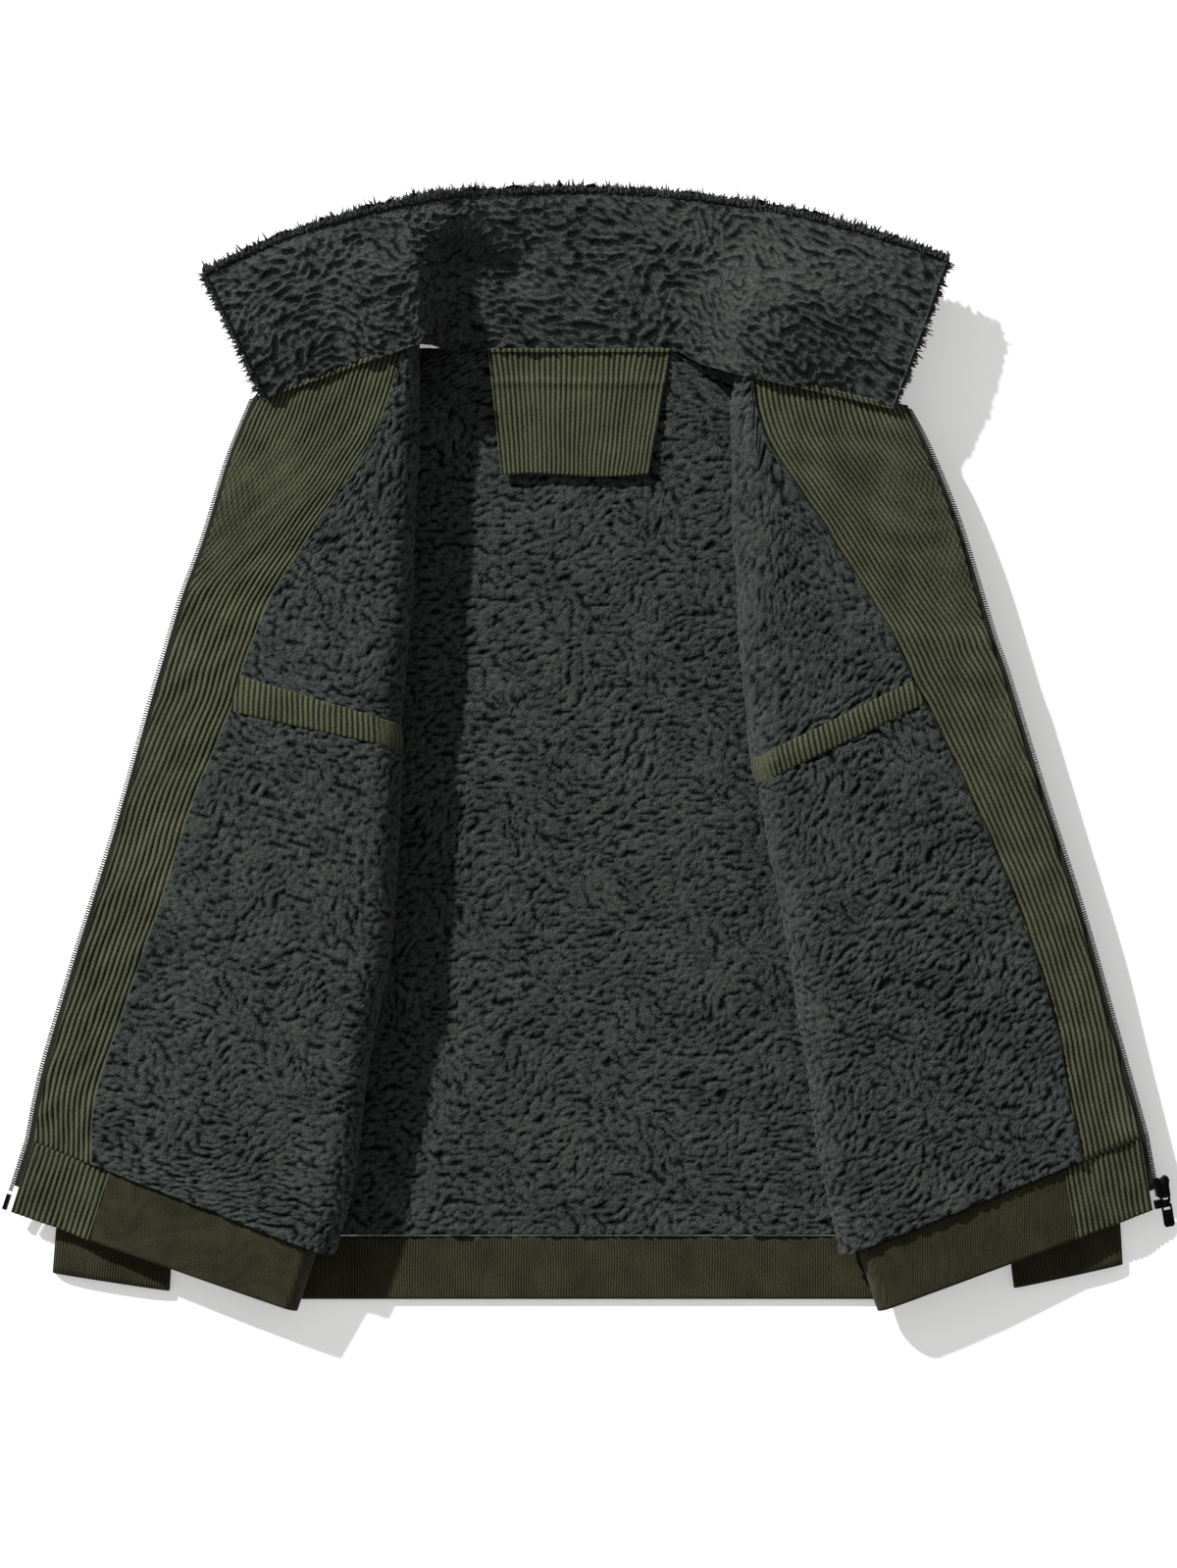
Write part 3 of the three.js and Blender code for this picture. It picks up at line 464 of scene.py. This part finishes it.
def make_zip_edges():
    """The zip's tape, and one small block for each tooth, along both edges."""
    for side, name in ((-1, "left"), (1, "right")):
        end = 9.77 if side < 0 else 9.86
        rows = np.linspace(0, end, 4000)
        rail = front_grid(side, np.array([4.0]), rows, 0.0)[0]
        if side > 0:
            rail = rail[::-1]
        inner = front_grid(side, np.array([3.9]), rows, 0.0)[0]
        if side > 0:
            inner = inner[::-1]
        out = rail - inner
        out /= np.linalg.norm(out, axis=1, keepdims=True)
        run = np.concatenate([[0], np.cumsum(np.linalg.norm(np.diff(rail, axis=0), axis=1))])
        tape = np.stack([rail[::50] + out[::50] * k for k in np.linspace(-8, 4.2, 14)])
        tape = tape if side < 0 else tape[:, ::-1]
        tape = tape if normals(tape)[..., 2].mean() > 0 else tape[::-1]
        mesh(f"tape_{name}", tape + (0, 0, 0.5), 0.4, f"zip_tape_{name}", TAPE, 1.0)
        verts, faces = [], []
        for d in np.arange(1, run[-1] - 1, TOOTH_PITCH):
            i = min(np.searchsorted(run, d), len(rail) - 2)
            along = rail[i + 1] - rail[i]
            along /= np.linalg.norm(along)
            up = np.cross(out[i], along)
            up *= np.sign(up[2])
            centre = rail[i] + out[i] * (TAPE_REACH - CHAIN / 2)
            first = len(verts)
            for a, o, h in TOOTH_CORNERS:
                thin = 0.5 if o < 0 else 0.42
                verts.append(centre + along * a * thin + out[i] * o * 1.4 + up * h * (1.15 if o > 0 else 0.9))
            faces += [tuple(first + q for q in face) for face in TOOTH_FACES]
        data = bpy.data.meshes.new("teeth_" + name)
        data.from_pydata((np.array(verts) * MM).tolist(), [], faces)
        colour = data.color_attributes.new("tone", "FLOAT_COLOR", "POINT")
        colour.data.foreach_set("color", np.full(4 * len(verts), 0.5, np.float32))
        data.materials.append(BLACK)
        piece = bpy.data.objects.new("teeth_" + name, data)
        bpy.context.collection.objects.link(piece)
        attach(piece, "root")
        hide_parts("zip_chain_" + name)


def finish_cad_nodes():
    """The slider, pull, box and pin stay as packed, and get the zip's black finish."""
    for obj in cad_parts.values():
        if obj.hide_render:
            continue
        obj.data.materials.clear()
        obj.data.materials.append(BLACK)


def stage():
    bpy.ops.mesh.primitive_plane_add(size=8, location=(0, 0, -0.0005))
    floor = bpy.context.object
    floor.name = "floor"
    paper = bpy.data.materials.new("paper")
    paper.use_nodes = True
    shader = paper.node_tree.nodes["Principled BSDF"]
    shader.inputs["Base Color"].default_value = (0.86, 0.86, 0.85, 1)
    shader.inputs["Roughness"].default_value = 0.9
    shader.inputs["Emission Color"].default_value = (1, 1, 1, 1)
    shader.inputs["Emission Strength"].default_value = 0.3
    floor.data.materials.append(paper)
    sun = bpy.data.objects.new("key", bpy.data.lights.new("key", "SUN"))
    sun.data.energy = 6.2
    sun.data.angle = 0.035
    sun.rotation_euler = Vector((0.67 * 0.86, -0.74 * 0.86, -0.5)).to_track_quat("-Z", "Y").to_euler()
    bpy.context.collection.objects.link(sun)
    world = bpy.data.worlds.new("studio")
    world.use_nodes = True
    world.node_tree.nodes["Background"].inputs["Color"].default_value = (1, 1, 1, 1)
    world.node_tree.nodes["Background"].inputs["Strength"].default_value = 0.42
    bpy.context.scene.world = world
    bpy.context.scene.view_settings.view_transform = "Standard"
    camera = bpy.data.objects.new("camera", bpy.data.cameras.new("camera"))
    camera.data.lens = 85
    camera.location = (-0.00035, -0.0245, 2.66)
    bpy.context.collection.objects.link(camera)
    bpy.context.scene.camera = camera


def tube(rows, along, around, side, squash):
    """A flattened tube on the surface it lies on: along the rows, and once around from its inner edge."""
    cut = column(rows, along)[:, None, :]
    turn = 2 * np.pi * around[None, :]
    f = (1 - np.cos(turn)) / 2
    x = side * (cut[..., 0] * (1 - f) + cut[..., 2] * f)
    y = cut[..., 1] * (1 - f) + cut[..., 3] * f
    up = np.clip(np.sin(turn), 0, 1) ** squash
    points = np.stack([x, y, cut[..., 4] * up + 0.3 * (np.sin(turn) < 0)], -1)
    return points if side > 0 else points[:, ::-1]


def make_sleeves():
    for side, name in ((-1, "left"), (1, "right")):
        base = tube(SLEEVE, np.linspace(0, 6, 60), np.linspace(0, 1, 300), side, 0.6)
        u, v = lengths(base)
        folds = 1.1 * waves(v, u * 0.6, 30, 7) * np.clip(base[..., 2] / 8, 0, 1)
        base[..., 2] = np.maximum(base[..., 2] + folds, 0.3)
        p, t, n = waled(base, v, WALE, 0.9, 8, 0)
        p[..., 2] = np.maximum(p[..., 2], 0.1)
        mesh(f"sleeve_cloth_{name}", p, t, f"sleeve_{name}", CORDUROY, 1.6, n)
        rows = np.array([(297, -318, 379, -298, 8.5), (*CUFF_END[name], 8.5)], float)
        base = tube(rows, np.linspace(0, 1, 16), np.linspace(0, 1, 420), side, 0.3)
        u, v = lengths(base)
        p, t, n = waled(base, v, RIB_PITCH, 0.6, 9, 0)
        p[..., 2] = np.maximum(p[..., 2], 0.1)
        mesh(f"cuff_cloth_{name}", p, t, f"cuff_{name}", RIBBED, 2.2, n)


def make_underside():
    y = np.linspace(NECK_Y - 1, HEM_Y, 24)
    half = np.interp(-y, BACK_DOWN, BACK_HALF)
    x = np.linspace(-1, 1, 800)[:, None] * half[None, :]
    base = np.stack([x, np.broadcast_to(y, x.shape), np.zeros(x.shape)], -1)
    p, t, n = waled(base, x, WALE, 0.9, 12, 0)
    mesh("back_cloth", p, t, "back_shell", CORDUROY, 1.5, n)


stage()
make_sleeves()
make_underside()
make_back()
make_fronts()
make_tufts(make_collar())
make_zip_edges()
finish_cad_nodes()
